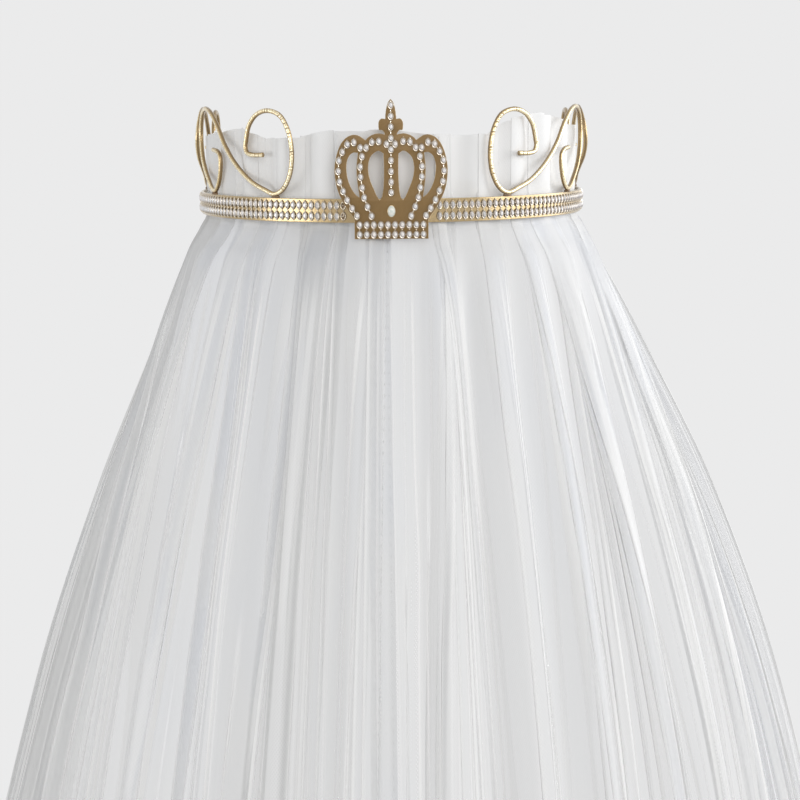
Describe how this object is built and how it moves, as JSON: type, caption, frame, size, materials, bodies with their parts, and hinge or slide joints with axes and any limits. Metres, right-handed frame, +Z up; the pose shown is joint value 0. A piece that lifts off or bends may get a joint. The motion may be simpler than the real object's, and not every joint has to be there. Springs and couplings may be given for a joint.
{
  "type": "bed crown canopy",
  "caption": "Wall-mounted half-ring metal bed crown with wire scrolls, a jewelled crown plate and two gathered sheer tulle panels that fall to the floor.",
  "frame": {"origin": "middle of the wall bar's back face, on the wall plane, at the middle of the band's height", "axes": "+Z up, +Y into the wall, the crown's front faces -Y, +X to the right seen from the front"},
  "size_m": [1.2968, 0.725, 1.9137],
  "materials": {
    "gold_band": "satin metallic gold paint",
    "gold_wire": "satin metallic gold paint on hand-bent wire",
    "weld_metal": "dark, rough weld bead under gold paint",
    "bronze_plate": "fine-grained matte bronze-gold paint",
    "crystal": "faceted clear stones in silver cups",
    "pearl": "pearly gloss",
    "tape": "woven touch-fastener tape",
    "tulle": "fine soft white tulle, sheer, gathered"
  },
  "bodies": {
    "root": {"crown_band": "gold_band", "wall_bar": "gold_band", "scroll_front_left": "gold_wire", "scroll_rear_left": "gold_wire", "scroll_front_right": "gold_wire", "scroll_rear_right": "gold_wire", "scroll_weld_front_left_outer": "weld_metal", "scroll_weld_front_left_inner": "weld_metal", "scroll_weld_rear_left_outer": "weld_metal", "scroll_weld_rear_left_inner": "weld_metal", "scroll_weld_front_right_outer": "weld_metal", "scroll_weld_front_right_inner": "weld_metal", "scroll_weld_rear_right_outer": "weld_metal", "scroll_weld_rear_right_inner": "weld_metal", "wall_weld_left": "weld_metal", "wall_weld_right": "weld_metal", "crown_plate": "bronze_plate", "plate_spacer_left": "bronze_plate", "plate_spacer_right": "bronze_plate", "plate_stones_middle": "crystal", "plate_stones_top_left": "crystal", "plate_stones_top_right": "crystal", "plate_stones_outer_left": "crystal", "plate_stones_outer_right": "crystal", "plate_stones_inner_left": "crystal", "plate_stones_inner_right": "crystal", "plate_stones_base": "crystal", "band_stones_left": "crystal", "band_stones_right": "crystal", "pearl": "pearl", "hook_tape": "tape", "loop_tape_left": "tape", "loop_tape_right": "tape", "veil_left": "tulle", "veil_right": "tulle"}
  },
  "joints": []
}
